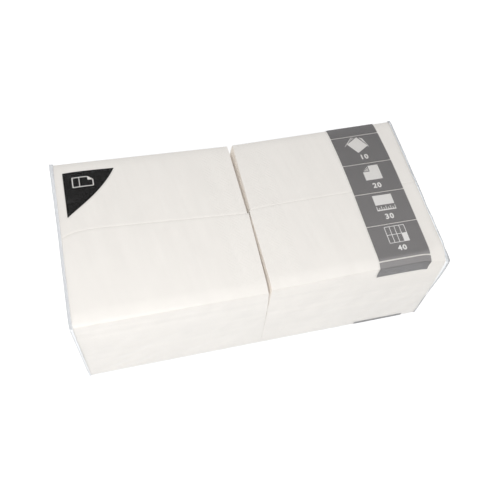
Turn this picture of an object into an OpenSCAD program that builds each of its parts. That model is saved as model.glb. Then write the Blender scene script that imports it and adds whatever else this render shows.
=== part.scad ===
// Pack of folded paper napkins: four stacks of 1/8-folded napkins in a wrap of clear printed film.
// Millimetres, +Z up. The origin is the middle of the underside, +X runs along the pack and -Y is
// the front. Each napkin lies with its last fold outwards, at the front or the back of the pack, and
// its open edges at the middle line. The wrap pulls the upper napkins down over the long top edges.

/* [Napkins] */
// Side of the square tissue sheet before it is folded
sheet_side = 330; // [240:2:400]
// Napkins in the whole pack, shared out over the four stacks
pack_count = 250; // [100:2:320]
// Height that one folded napkin takes up in the pressed stack
napkin_pitch = 1.74; // [1.2:0.02:2.2]
// How far the last fold sits off the middle, which leaves one leaf longer than the other
fold_offset = 1.5; // [0:0.5:4]
// Air between one napkin and the next
napkin_air = 0.08; // [0.04:0.01:0.2]
// Slit between the two leaves of a napkin, behind its last fold
fold_slit = 0.1; // [0.04:0.01:0.2]
// How far the slit stops short of the outside of the fold
fold_depth = 2.4; // [1.5:0.1:5]

/* [Stacks] */
// Gap between the left and right stacks at their feet
foot_gap = 0.4; // [0.2:0.1:3]
// Gap between the left and right stacks at the top, where they lean apart
head_gap = 3.4; // [0.4:0.1:8]
// Gap between the front and back stacks
middle_gap = 0.3; // [0.1:0.1:2]
// How far the wrap pulls the top napkins down at the long edges
top_drop = 4.5; // [2:0.5:12]
// Width over which the top napkins bend down
top_bend = 13; // [10:1:30]

/* [Wrap] */
// Thickness that the film is drawn with
film_t = 0.3; // [0.2:0.05:0.6]
// Slack between the napkins and the film
film_slack = 0.4; // [0.3:0.05:1]
// Width of the lap seam along the underside
seam_w = 12; // [6:1:25]
// Thickness of the second ply in the seam
seam_ply = 0.15; // [0.05:0.05:0.2]
// How far the upper and the lower end flap overlap at half height
flap_lap = 16; // [6:1:40]

/* [Print] */
// Thickness that the ink is drawn with
ink_t = 0.1; // [0.06:0.01:0.15]
// Width of the grey band
band_w = 50; // [20:0.5:80]
// Distance from the napkins' right end to the band
band_inset = 15.5; // [8:0.5:40]
// How far the top band reaches below the long top edges
band_reach = 10; // [4:0.5:40]
// How far the underside band wraps up the long sides
band_wrap_up = 5; // [3:0.5:20]
// Distance between the clear lines across the band
line_pitch = 36; // [20:1:60]
// Width of the clear lines
line_w = 0.8; // [0.4:0.1:2]
// How far the pattern of lines sits forward of the middle
line_shift = 2; // [0:0.5:6]
// Least distance from a clear line to the long side of the pack
line_margin = 6; // [2:0.5:20]
// Length of the black corner field along the pack
field_len = 46; // [20:0.5:70]
// Depth of the black corner field across the pack
field_depth = 52; // [20:0.5:60]
// Distance from the napkins' left end to the corner field
field_end_inset = 8.5; // [2:0.5:30]
// Distance from the stacks' back face to the corner field
field_back_inset = 14; // [4:0.5:20]
// How far the field's free edge bulges from a straight line
field_bulge = 5; // [2:0.5:8]

/* [Hidden] */

// A sheet folded to a quarter, then nearly in half again
napkin_len = sheet_side / 2;
napkin_w = sheet_side / 4 + fold_offset;
stack_rise = napkin_pitch * pack_count / 4;
low_count = floor(pack_count / 4);
high_count = ceil(pack_count / 4);
nose_r = (napkin_pitch - napkin_air) / 2;
open_u = middle_gap / 2;
outer_u = open_u + napkin_w;
short_u = open_u + 2 * fold_offset;

// Straight pieces that the wrap's outline is drawn with, at the bends, the folds and the sides
bend_steps = 6;
nose_steps = 3;
side_steps = 6;
// How far a straight piece of a napkin or of its slit may stray from the true bend
napkin_stray = 0.18;
slit_stray = 0.6;

stack_end_x = head_gap / 2 + napkin_len;
wrap_end_x = stack_end_x + film_slack;
wrap_offset = film_slack + film_t;
ground_z = wrap_offset;
// The ink lies against the inside of the film
ink_air = 0.02;

// Level surfaces in a stack. u is the distance from the pack's middle plane and level runs from 0
// at the foot of the stack to 1 at its top. The bend grows towards the top of the stack.
bend_u = outer_u - top_bend;
function bend(u) = max(0, (u - bend_u) / top_bend);
function drop(level) = top_drop * pow(level, 3);
function level_z(u, level) = stack_rise * level - drop(level) * pow(bend(u), 2);
// A bent napkin keeps its length, so its fold draws in by the arc that the bend takes up
function draw_in(level) = 2 / 3 * pow(drop(level), 2) / top_bend;
function fold_u(level) = outer_u - nose_r - draw_in(level);
// The stacks lean apart, more at each level
function lean(level) = (foot_gap + (head_gap - foot_gap) * level) / 2;

function backwards(list) = [for (i = [len(list) - 1:-1:0]) list[i]];

// Places across a napkin, from its open edges over the bend to an end near its closed fold
function steps_for(level, stray) = drop(level) < stray ? 0 : ceil(sqrt(drop(level) / (4 * stray)));
function places(start, end, steps) = concat(
    [start],
    [for (i = [0:1:steps - 1]) bend_u + (end - bend_u) * i / steps],
    [end]
);

// Section of one folded napkin: two leaves, joined by the closed fold at the outside. The lower
// leaf is the shorter one.
module napkin_section(index, count) {
    level = (index + 0.5) / count;
    tip_u = fold_u(level) + nose_r;
    slit_u = tip_u - fold_depth;
    steps = steps_for(level, napkin_stray);
    slit_steps = steps_for(level, slit_stray);
    polygon(concat(
        [for (u = places(short_u, fold_u(level), steps)) [u, level_z(u, index / count) + napkin_air / 2]],
        [[tip_u, level_z(tip_u, level)]],
        backwards([
            for (u = places(open_u, fold_u(level), steps))
            [u, level_z(u, (index + 1) / count) - napkin_air / 2]
        ]),
        [
            for (u = places(open_u, slit_u, slit_steps))
            [u, level_z(u, level) + (u < slit_u ? fold_slit / 2 : 0)]
        ],
        backwards([
            for (u = places(short_u, slit_u, slit_steps))
            if (u < slit_u) [u, level_z(u, level) - fold_slit / 2]
        ])
    ));
}

// A stack of separate napkins. side is 1 on the right and -1 on the left, face is 1 at the back
// and -1 at the front.
module stack(count, side, face) {
    color("white")
    for (index = [0:count - 1])
        translate([side * lean((index + 0.5) / count) + min(side, 0) * napkin_len, 0, ground_z])
        scale([1, face, 1])
        rotate([90, 0, 90])
        linear_extrude(height = napkin_len) napkin_section(index, count);
}

// Outline of the stacks' section, as places on it with the direction that faces outwards there
function slope(u) = atan(2 * top_drop * bend(u) / top_bend);
function top_edge() = [
    for (i = [0:bend_steps])
    let (u = bend_u + (fold_u(1) - bend_u) * i / bend_steps)
    [u, level_z(u, 1), 90 - slope(u)]
];
// Places on the round fold past place, turning from its direction to straight outwards. The fold is
// as far out as on a level napkin and touches the surface's own line.
function nose(place) =
    let (c = [place[0], place[1] - nose_r / sin(place[2])])
    [for (i = [1:nose_steps])
        let (a = place[2] * (1 - i / nose_steps))
        [c[0] + nose_r * cos(a), c[1] + nose_r * sin(a), a]];
function side_face() = [
    for (i = [side_steps - 1:-1:1])
    let (u = fold_u(i / side_steps))
    [u + nose_r, level_z(u, i / side_steps), 0]
];
function half_outline() =
    let (foot = [fold_u(0), 0, -90])
    concat(top_edge(), nose(top_edge()[bend_steps]), side_face(), backwards(nose(foot)), [foot]);

// The outline moved outwards by grow, for the film and the ink
module outline(grow) {
    half = [for (p = half_outline()) [p[0] + grow * cos(p[2]), p[1] + grow * sin(p[2])]];
    polygon(concat(half, [for (p = backwards(half)) [-p[0], p[1]]]));
}

// The grown outline drawn out along the pack, from one place to another
module along_pack(from_x, to_x, grow) {
    translate([from_x, 0, ground_z])
    rotate([90, 0, 90])
    linear_extrude(height = to_x - from_x) outline(grow);
}

// One flap of an envelope fold, as its outline on the end of the pack
module lower_flap() {
    half_w = outer_u + wrap_offset;
    deep = (stack_rise + flap_lap) / 2 + wrap_offset;
    polygon([[-half_w, -wrap_offset], [half_w, -wrap_offset],
        [half_w - deep, deep - wrap_offset], [deep - half_w, deep - wrap_offset]]);
}
module upper_flap() {
    translate([0, stack_rise]) mirror([0, 1]) lower_flap();
}

// One ply of the folded end, cut to the wrap's own outline
module end_ply(number) {
    translate([wrap_end_x + number * film_t, 0, ground_z])
    rotate([90, 0, 90])
    linear_extrude(height = film_t) intersection() {
        outline(wrap_offset);
        children();
    }
}

// The sides are tucked in first, the lower flap is folded up over them and the upper flap down
// over both
module folded_end() {
    end_ply(0) outline(wrap_offset);
    end_ply(1) lower_flap();
    for (number = [1, 2]) end_ply(number) upper_flap();
}

module film_wrap() {
    color([0.86, 0.92, 0.95, 0.35]) {
        difference() {
            along_pack(-wrap_end_x, wrap_end_x, wrap_offset);
            along_pack(-wrap_end_x, wrap_end_x, film_slack);
        }
        translate([-wrap_end_x, -seam_w / 2, film_t]) cube([2 * wrap_end_x, seam_w, seam_ply]);
        folded_end();
        mirror([1, 0, 0]) folded_end();
    }
}

// A layer of ink against the inside of the film
module ink_sleeve(from_x, to_x) {
    difference() {
        along_pack(from_x, to_x, film_slack - ink_air);
        along_pack(from_x, to_x, film_slack - ink_air - ink_t);
    }
}

band_from = stack_end_x - band_inset - band_w;
band_to = stack_end_x - band_inset;
edge_z = ground_z + level_z(fold_u(1), 1);
pack_half_w = outer_u + wrap_offset;

module print_band_top() {
    line_count = 2 * floor((outer_u - line_shift - line_margin) / line_pitch) + 1;
    color([0.44, 0.44, 0.44])
    difference() {
        intersection() {
            ink_sleeve(band_from, band_to);
            translate([band_from, -pack_half_w, edge_z - band_reach])
            cube([band_w, 2 * pack_half_w, stack_rise]);
        }
        for (i = [0:line_count - 1])
            translate([band_from, (i - (line_count - 1) / 2) * line_pitch - line_shift - line_w / 2,
                edge_z - band_reach])
            cube([band_w, line_w, stack_rise]);
    }
}

// The print stops on each side of the lap seam
module print_band_underside() {
    seam_clear = seam_w + 2 * ink_air;
    color([0.3, 0.3, 0.3])
    difference() {
        intersection() {
            ink_sleeve(band_from, band_to);
            translate([band_from, -pack_half_w, 0]) cube([band_w, 2 * pack_half_w, band_wrap_up]);
        }
        translate([band_from, -seam_clear / 2, 0]) cube([band_w, seam_clear, band_wrap_up]);
    }
}

// A corner with two straight sides and a shallow arc between their ends
module corner_field() {
    span = norm([field_len, field_depth]);
    arc_r = (pow(span / 2, 2) + pow(field_bulge, 2)) / (2 * field_bulge);
    intersection() {
        square([field_len, field_depth]);
        translate([field_len, field_depth] / 2
            - [field_depth, field_len] * (arc_r - field_bulge) / span)
        circle(r = arc_r, $fn = 180);
    }
}

module print_corner_field() {
    color([0.12, 0.11, 0.11])
    intersection() {
        ink_sleeve(-stack_end_x, -stack_end_x + field_end_inset + field_len);
        translate([field_end_inset - stack_end_x, outer_u - field_back_inset, stack_rise / 2])
        mirror([0, 1, 0])
        linear_extrude(height = stack_rise) corner_field();
    }
}

stack(low_count, -1, -1);  // front_left_stack
stack(high_count, 1, -1);  // front_right_stack
stack(high_count, -1, 1);  // back_left_stack
stack(low_count, 1, 1);  // back_right_stack
film_wrap();
print_band_top();
print_band_underside();
print_corner_field();
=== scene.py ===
"""Pack of folded paper napkins in a wrap of clear printed film, finished as meshes on the packed frame.

Four stacks of folded napkins lie two by two. The wrap has pulled their upper edges down and in, so every
piece is modelled on the straight pack and then moved by PackShape.settle, which keeps them clear of
each other.
"""

import math
import random

import bmesh
import bpy
from bpy.props import FloatProperty, FloatVectorProperty, IntProperty, PointerProperty
from mathutils import Euler, Matrix, Vector, noise


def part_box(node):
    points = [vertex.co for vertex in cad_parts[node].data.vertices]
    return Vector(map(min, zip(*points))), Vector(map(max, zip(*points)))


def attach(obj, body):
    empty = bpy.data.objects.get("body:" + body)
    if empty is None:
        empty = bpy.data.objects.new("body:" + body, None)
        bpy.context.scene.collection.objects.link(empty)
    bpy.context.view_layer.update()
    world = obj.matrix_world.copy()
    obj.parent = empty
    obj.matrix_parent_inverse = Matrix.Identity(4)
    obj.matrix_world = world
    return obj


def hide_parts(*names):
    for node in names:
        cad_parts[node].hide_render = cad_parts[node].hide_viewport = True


bl_info = {
    "name": "Wrapped napkin pack",
    "version": (1, 0, 0),
    "blender": (4, 5, 0),
    "location": "View3D > Sidebar > Napkin pack",
    "description": "Folded paper napkins in four stacks, in a wrap of clear printed film",
    "category": "Add Mesh",
}

MM = 0.001
ROOT = "root"

# Less than any distance that counts
TINY = 1e-6

# Radius of the round of a closed fold
NOSE = 0.83 * MM

# How far the film's tube stops short of the wrap's ends, where its folded flaps lie
END_INSET = 0.9 * MM

# How far the print lies under the film's outside: the fields, and the white signs on them
PRINT_DEPTH = 0.3 * MM
SIGN_DEPTH = 0.22 * MM

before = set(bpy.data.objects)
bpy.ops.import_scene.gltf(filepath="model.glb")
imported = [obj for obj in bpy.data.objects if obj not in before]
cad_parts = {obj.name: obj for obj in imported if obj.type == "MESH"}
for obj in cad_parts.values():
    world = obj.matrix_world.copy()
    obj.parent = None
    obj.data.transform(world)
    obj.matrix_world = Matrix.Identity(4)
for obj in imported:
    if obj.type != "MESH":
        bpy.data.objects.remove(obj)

# Node of each stack: its side (1 is right), its face (1 is back), how many napkins it holds, where its
# top napkin's end lies beside the gap, at the middle line and at the long edge, its slack, which is how
# far its other end is drawn back from the film at the top, and how far the wrap's pull has lifted its
# open edges
STACKS = {
    "front_left_stack": (-1, -1, 62, 0.6 * MM, 2.4 * MM, 1.7 * MM, 0),
    "front_right_stack": (1, -1, 63, 0.7 * MM, 1.2 * MM, 1.0 * MM, 0.1 * MM),
    "back_left_stack": (-1, 1, 63, 2.0 * MM, 3.2 * MM, 1.7 * MM, 0.35 * MM),
    "back_right_stack": (1, 1, 62, 1.7 * MM, 2.2 * MM, -0.3 * MM, 0.35 * MM),
}

# Open edge of a napkin's upper leaf: how far in from the edge, and how high as a share of the napkin.
# The film presses the back stacks' top edges round, where they stand over the front ones.
PLAIN_EDGE = ((0, 0.82), (0.6 * MM, 1.0))
FLAT_EDGE = ((0, 0.93), (0.25 * MM, 1.0))
ROUND_EDGE = ((0, 0.74), (0.2 * MM, 0.82), (0.5 * MM, 0.9), (0.9 * MM, 0.96), (1.5 * MM, 1.0))


def length(name, description, default, **limits):
    """A size in the panel, in metres."""
    return FloatProperty(
        name=name, description=description, default=default, unit="LENGTH", precision=5, **limits
    )


def portion(name, description, default):
    """A portion in the panel, from 0 to 1."""
    return FloatProperty(name=name, description=description, default=default, min=0, max=1, precision=3)


def colour(name, description, default):
    """A colour in the panel, in linear values."""
    return FloatVectorProperty(
        name=name, description=description, default=default, subtype="COLOR", size=3, min=0, max=1
    )


class NapkinSizes(bpy.types.PropertyGroup):
    """Sizes of the folded napkins and their stacks."""

    leaf_length: length("Length", "Long side of a folded napkin", 165 * MM, min=100 * MM)
    short_leaf: length("Short leaf", "How much shorter the lower leaf is", 3 * MM, min=0)
    air: length("Air", "Air between one napkin and the next", 0.08 * MM, min=0.02 * MM)
    slit: portion("Slit", "Slit between the two leaves, as a portion of the napkin", 0.06)
    fold_depth: length("Fold depth", "How far the slit stops short of the fold", 2.4 * MM, min=MM)
    foot_gap: length("Foot gap", "Gap between left and right stacks at the foot", 0.4 * MM, min=0)
    head_gap: length("Head gap", "Gap between left and right stacks at the top", 3.4 * MM, min=0)
    end_taper: length("End taper", "How far in from its cut ends a napkin gets thinner", 0.3 * MM, min=0)
    end_thinning: portion("End thinning", "Portion that the leaves lose at the cut ends", 0.12)
    top_drop: length("Top drop", "How far the long top edges are pulled down", 4.1 * MM, min=0)
    top_bend: length("Top bend", "Width over which the top bends down", 13 * MM, min=5 * MM)
    spread: length("Spread", "How far the upper napkins slide towards the ends", 0.6 * MM, min=0)
    unevenness: length("Unevenness", "How far single napkins lie out of line", 0.35 * MM, min=0)
    seed: IntProperty(name="Seed", description="Seed of the napkins' unevenness", default=7)


class WrapSizes(bpy.types.PropertyGroup):
    """Sizes of the film and of the way it pulls the pack."""

    film: length("Film", "Thickness of the film", 0.12 * MM, min=0.02 * MM)
    offset: length("Offset", "From the napkins to the outside of the film", 0.7 * MM, min=0.2 * MM)
    spacing: length("Mesh spacing", "Distance between the film's mesh points", 2.7 * MM, min=MM)
    seam_width: length("Seam width", "Width of the lap seam on the underside", 12 * MM, min=2 * MM)
    flap_lap: length("Flap overlap", "Overlap of the two end flaps", 16 * MM, min=0)
    waist: length("Waist", "How far the top edges are pulled in beside the gap", 4.5 * MM, min=0)
    bow: length("Bow", "How far the left middle line is pushed back", 9.3 * MM, min=0)
    slant: length("Slant", "How far the left middle line comes forward again", 11 * MM, min=0)
    back_rise: length("Back rise", "How much higher the back edge lies than the front one", 2.8 * MM, min=0)
    corner_drop: length("Corner drop", "How far the front right corner is pulled down", 3 * MM, min=0)
    ear: length("Ear", "How far the film stands out at the front right corner", 3.4 * MM, min=0)
    wave: length("Wave", "Height of the soft waves on the top", 0.22 * MM, min=0)
    wrinkle: length("Wrinkle", "Height of the film's wrinkles", 0.5 * MM, min=0)


class PrintSizes(bpy.types.PropertyGroup):
    """Sizes of the print."""

    ink: length("Ink", "Thickness of the ink layer", 0.05 * MM, min=0.01 * MM)
    line_width: length("Line width", "Width of the clear lines across the band", 0.8 * MM, min=0.1 * MM)
    line_pitch: length("Line pitch", "Distance between the clear lines", 36 * MM, min=10 * MM)
    line_shift: length("Line shift", "How far the lines sit forward of the middle", 2 * MM, min=0)
    number_height: length("Number height", "Height of the numbers", 6 * MM, min=MM)
    bulge: length("Bulge", "How far the corner field's free edge bulges", 5 * MM, min=0)
    band_drop: length("Band drop", "How far the pull has lowered the band's ends", 2 * MM)
    first_line_shift: length("First line shift", "How far the pull has moved the first line", 3.4 * MM)
    lower_band_reach: length("Lower band reach", "How far the pull has drawn the lower band left", 2.6 * MM)
    corner_shift: length("Corner shift", "How far the pull has moved the corner field forward", 1.2 * MM)


class Finishes(bpy.types.PropertyGroup):
    """Colours and finishes, as linear values."""

    paper: colour("Paper", "Colour of the napkins", (0.92, 0.888, 0.845))
    # The cut ends' colour is also the tint of the painted glow beside the gap
    cut: colour("Cut ends", "Colour of the napkins' cut ends", (0.985, 0.93, 0.865))
    film: colour("Film", "Tint of the film's gloss", (0.87, 0.9, 0.93))
    # The rim tint also darkens the creases, as painted shade along them
    film_rim: colour("Film rim", "Tint of the film's gloss at a flat angle", (0.765, 0.785, 0.81))
    milkiness: portion("Milkiness", "How milky the film is where it is gathered", 0.72)
    grey: colour("Grey ink", "Colour of the band", (0.192, 0.185, 0.184))
    black: colour("Black ink", "Colour of the corner field", (0.003, 0.0024, 0.002))
    white: colour("White ink", "Colour of the pictograms and numbers", (0.875, 0.845, 0.812))
    # Painted light: a glow on the cut ends beside the gap, which lightens the shade there
    glow: portion("Glow", "Light that soaks through the cut ends beside the gap", 0.06)


class StageSizes(bpy.types.PropertyGroup):
    """Camera, lights and floor."""

    lens: FloatProperty(name="Lens", description="Focal length of the camera", default=45.55, unit="CAMERA")
    shift_x: FloatProperty(name="Shift X", description="Sideways shift of the view", default=-0.035)
    shift_y: FloatProperty(name="Shift Y", description="Upward shift of the view", default=0.0534)
    light: FloatProperty(name="Light level", description="Factor on all light", default=1.0, min=0)
    sky: portion("Sky", "Strength of the even light from all round", 0.604)
    lamp: FloatProperty(name="Lamp", description="Power of the lamp", default=2.31, min=0, unit="POWER")
    lamp_size: length("Lamp size", "Width of the lamp", 350 * MM, min=MM)
    floor: portion("Floor", "Grey of the floor", 0.86)
    floor_lift: portion("Floor lift", "What the floor gives off where it is seen, to show as white", 0.54)


def ramp(value, start, end):
    """0 where the value is before start, 1 where it is past end, and an even S between them."""
    value = min(max((value - start) / (end - start), 0.0), 1.0)
    return value * value * (3 - 2 * value)


class PackShape:
    """Form of the pack: the straight section that the frame has, and how the wrap pulls it."""

    def __init__(self, scene):
        napkin, wrap = scene.napkin_sizes, scene.wrap_sizes
        low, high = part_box("front_right_stack")
        self.ground, self.rise = low.z, high.z - low.z
        self.outer_u, self.stack_end = -low.y, high.x
        self.wrap_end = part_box("film_wrap")[1].x
        for name in ("top_drop", "top_bend", "foot_gap", "head_gap"):
            setattr(self, name, getattr(napkin, name))
        for name in ("waist", "bow", "slant", "back_rise", "corner_drop", "wave"):
            setattr(self, name, getattr(wrap, name))
        self.bend_start = self.outer_u - self.top_bend

    def level_of(self, z):
        """Height z as a level of the stacks, from 0 at their foot to 1 at their top."""
        return min(max((z - self.ground) / self.rise, 0.0), 1.0)

    def bend(self, u):
        """How far into the bend of the long edge u is: 0 where it starts, 1 at the edge."""
        return max(0.0, (u - self.bend_start) / self.top_bend)

    def drop(self, level):
        """How far the long edge is pulled down at that level."""
        return self.top_drop * level ** 3

    def level_z(self, u, level):
        """Height of the surface at that level of a stack, u away from the pack's middle plane."""
        return self.ground + self.rise * level - self.drop(level) * self.bend(u) ** 2

    def fold_u(self, level):
        """Where the round of a closed fold starts. A bent napkin draws in by the arc that it needs."""
        return self.outer_u - NOSE - 2 / 3 * self.drop(level) ** 2 / self.top_bend

    def lean(self, level):
        """Half the gap between the left and right stacks at that level."""
        return (self.foot_gap + (self.head_gap - self.foot_gap) * level) / 2

    def middle_shift(self, x):
        """How far the middle line between the front and back stacks lies back at x."""
        if x > 0:
            return MM
        along = min(max(1 + x / self.stack_end, 0.0), 1.0)
        return self.bow * (1 - math.exp(-along / 0.06)) - self.slant * along

    def slip(self, x):
        """How much further back the right stacks meet under the film at x."""
        if x < 0:
            return 0.0
        beside_gap, along = 2.2 * MM, 2.4 * MM
        return beside_gap * (1 - math.exp(-x / (12 * MM))) + along * x / self.stack_end

    def front_pull(self, x):
        """How far the top front edge is pulled back at x: only the right stack's, and more along it."""
        pull = 2.4 * MM
        grown = ramp(x, -2 * MM, 2 * MM) + ramp(x, 0, 125 * MM)
        return pull * grown * (1 - ramp(x, 142 * MM, self.wrap_end))

    def pulled_print(self, point):
        """Where the film's pull has moved a point of the band's print along the pack."""
        x, y, z = point
        across, level = max(0.0, y / self.outer_u), self.level_of(z)
        right, left_at_back, left_at_front = 0.8 * MM, 3.4 * MM, 1.8 * MM
        x += (right - left_at_back * across ** 2) * level ** 2
        if y < 0:
            x -= left_at_front * ramp(level, 0.97, 0.89) * level ** 4
        return Vector((x, y, z))

    def settle(self, point):
        """Where the wrap has pulled a point of the straight pack."""
        x, y, z = point
        across, level = y / self.outer_u, self.level_of(z)
        top = level ** 3
        if across > 0:
            y -= self.waist * max(0.0, 1 - abs(x) / self.stack_end) * top * across
        else:
            y += self.front_pull(x) * top * across ** 4
        y += self.middle_shift(x) * max(0.0, 1 - across * across) * level ** 2
        corner = ramp(x, 142 * MM, 166 * MM) * ramp(-across, 0.78, 1)
        fallen = self.corner_drop * corner * level ** 4
        z += self.back_rise * self.bend(point[1]) ** 2 * top - fallen
        y += fallen / 2
        swell = noise.noise((x / (21 * MM) + 1.3 * across, y / (80 * MM), 3.1))
        swell += 0.4 * noise.noise((x / (9 * MM) - 1.1 * across, y / (45 * MM), 5.2))
        z += self.wave * swell * level ** 8 * (1 - across ** 4)
        ripple = noise.noise((x / (22 * MM) + 0.8 * level, z / (90 * MM), 8.7 + across))
        y += self.wave * ripple * across ** 9 * (1 - level ** 6) * ramp(level, 0, 1 / 6)
        return Vector((x, y, z))

    def half_section(self, grow, spacing):
        """(y, z) round half the section grown by grow, from the middle of the top to the underside."""
        places = []

        def span(start, end, count, place):
            for i in range(count):
                places.append(place(start + (end - start) * i / count))

        def over_top(u):
            slope = math.atan(2 * self.top_drop * self.bend(u) / self.top_bend)
            return u + grow * math.sin(slope), self.level_z(u, 1) + grow * math.cos(slope)

        fold = self.fold_u(1)
        steepest = math.atan(2 * self.top_drop * self.bend(fold) / self.top_bend)
        centre = Vector((fold, self.level_z(fold, 1) - NOSE / math.cos(steepest)))
        foot = Vector((self.fold_u(0), self.ground + NOSE))
        radius = NOSE + grow

        def round_nose(middle):
            return lambda angle: (
                middle.x + radius * math.cos(angle), middle.y + radius * math.sin(angle)
            )

        def down_side(level):
            height = foot.y + (centre.y - foot.y) * level
            return self.fold_u(level) + radius, height

        span(0, self.bend_start, round(self.bend_start / spacing), over_top)
        span(self.bend_start, fold, 8, over_top)
        span(math.pi / 2 - steepest, 0, 5, round_nose(centre))
        span(1, 0, round(self.rise / spacing), down_side)
        span(0, -math.pi / 2, 4, round_nose(foot))
        span(foot.x, 0, round(foot.x / spacing), lambda u: (u, self.ground - grow))
        places.append((0, self.ground - grow))
        return places


def mesh_of(bm, name):
    """The mesh that bm holds, by that name. It frees bm."""
    mesh = bpy.data.meshes.new(name)
    bm.to_mesh(mesh)
    bm.free()
    return mesh


def new_piece(name, bm, material, slot, *nodes):
    """Makes a piece of the mesh that bm holds, in place, riding on the pack."""
    mesh = mesh_of(bm, name)
    piece = bpy.data.objects.new(name, mesh)
    bpy.context.scene.collection.objects.link(piece)
    mesh.materials.append(material)
    mesh.shade_smooth()
    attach(piece, ROOT)
    if nodes:
        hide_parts(*nodes)
    return piece


def thicken(piece, name, thickness):
    """Gives a piece its wall, inwards from its mesh."""
    wall = piece.modifiers.new(name, "SOLIDIFY")
    wall.thickness, wall.offset = thickness, -1


def extruded(bm, edges):
    """Extrudes edges where they are. Returns the new edges and the new points."""
    made = bmesh.ops.extrude_edge_only(bm, edges=edges)["geom"]
    edges = [g for g in made if isinstance(g, bmesh.types.BMEdge)]
    return edges, [g for g in made if isinstance(g, bmesh.types.BMVert)]


def sweep(bm, edges, stations):
    """Draws edges out along X, to each of the stations in turn. Returns the last ring's edges."""
    for start, end in zip(stations, stations[1:]):
        edges, verts = extruded(bm, edges)
        bmesh.ops.translate(bm, verts=verts, vec=(end - start, 0, 0))
    return edges


def evenly(start, end, spacing):
    """Places from start to end, about spacing apart."""
    count = max(1, round(abs(end - start) / spacing))
    return [start + (end - start) * i / count for i in range(count + 1)]


def folded_napkin(shape, sizes, along, across, edge):
    """Mesh of one folded napkin, flat: x along it, y from its open edges to its fold, z its height
    as a share of its own thickness. Its closed fold is at the greatest y. Its mesh points lie about
    along and across apart, and its upper leaf has that open edge."""
    fold = shape.fold_u(0)
    tip = fold + NOSE
    flat = evenly(0.05 * MM, shape.bend_start, across)
    bent = evenly(shape.bend_start, fold, 2.2 * MM)[1:]
    upper = [(flat[0] + inwards, share) for inwards, share in edge] + [(u, 1.0) for u in flat[1:] + bent]
    lower = [(u, 0.0) for u in flat[1:] + bent]
    lower.insert(0, (flat[0] + sizes.short_leaf, 0.0))
    curve = [
        (fold + NOSE * math.sin(a) ** 0.6, 0.5 + 0.5 * math.cos(a))
        for a in (math.pi * i / 6 for i in range(1, 6))
    ]
    slit_end = tip - sizes.fold_depth
    slit_half = sizes.slit / 2
    slit = [
        (flat[0] + sizes.short_leaf, 0.5 - slit_half), (shape.bend_start, 0.5 - slit_half),
        (slit_end, 0.5), (shape.bend_start, 0.5 + slit_half), (flat[0], 0.5 + slit_half),
    ]
    outline = upper + curve + lower[::-1] + slit
    bm = bmesh.new()
    face = bm.faces.new([bm.verts.new((0, u, t)) for u, t in outline])
    ends = [0.0, sizes.end_taper, 4 * sizes.end_taper]
    middle = evenly(ends[-1], sizes.leaf_length - ends[-1], along)
    stations = ends[:-1] + middle + [sizes.leaf_length - e for e in ends[-2::-1]]
    for start, end in zip(stations, stations[1:]):
        made = bmesh.ops.extrude_face_region(bm, geom=[face])["geom"]
        face = next(g for g in made if isinstance(g, bmesh.types.BMFace))
        verts = [g for g in made if isinstance(g, bmesh.types.BMVert)]
        bmesh.ops.translate(bm, verts=verts, vec=(end - start, 0, 0))
    for v in bm.verts:
        at_end = v.co.x < TINY or v.co.x > sizes.leaf_length - TINY
        if at_end and abs(v.co.z - 0.5) > TINY:
            leaf_middle = 0.25 if v.co.z < 0.5 else 0.75
            v.co.z = leaf_middle + (v.co.z - leaf_middle) * (1 - sizes.end_thinning)
    bmesh.ops.recalc_face_normals(bm, faces=bm.faces)
    return mesh_of(bm, "folded_napkin")


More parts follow.
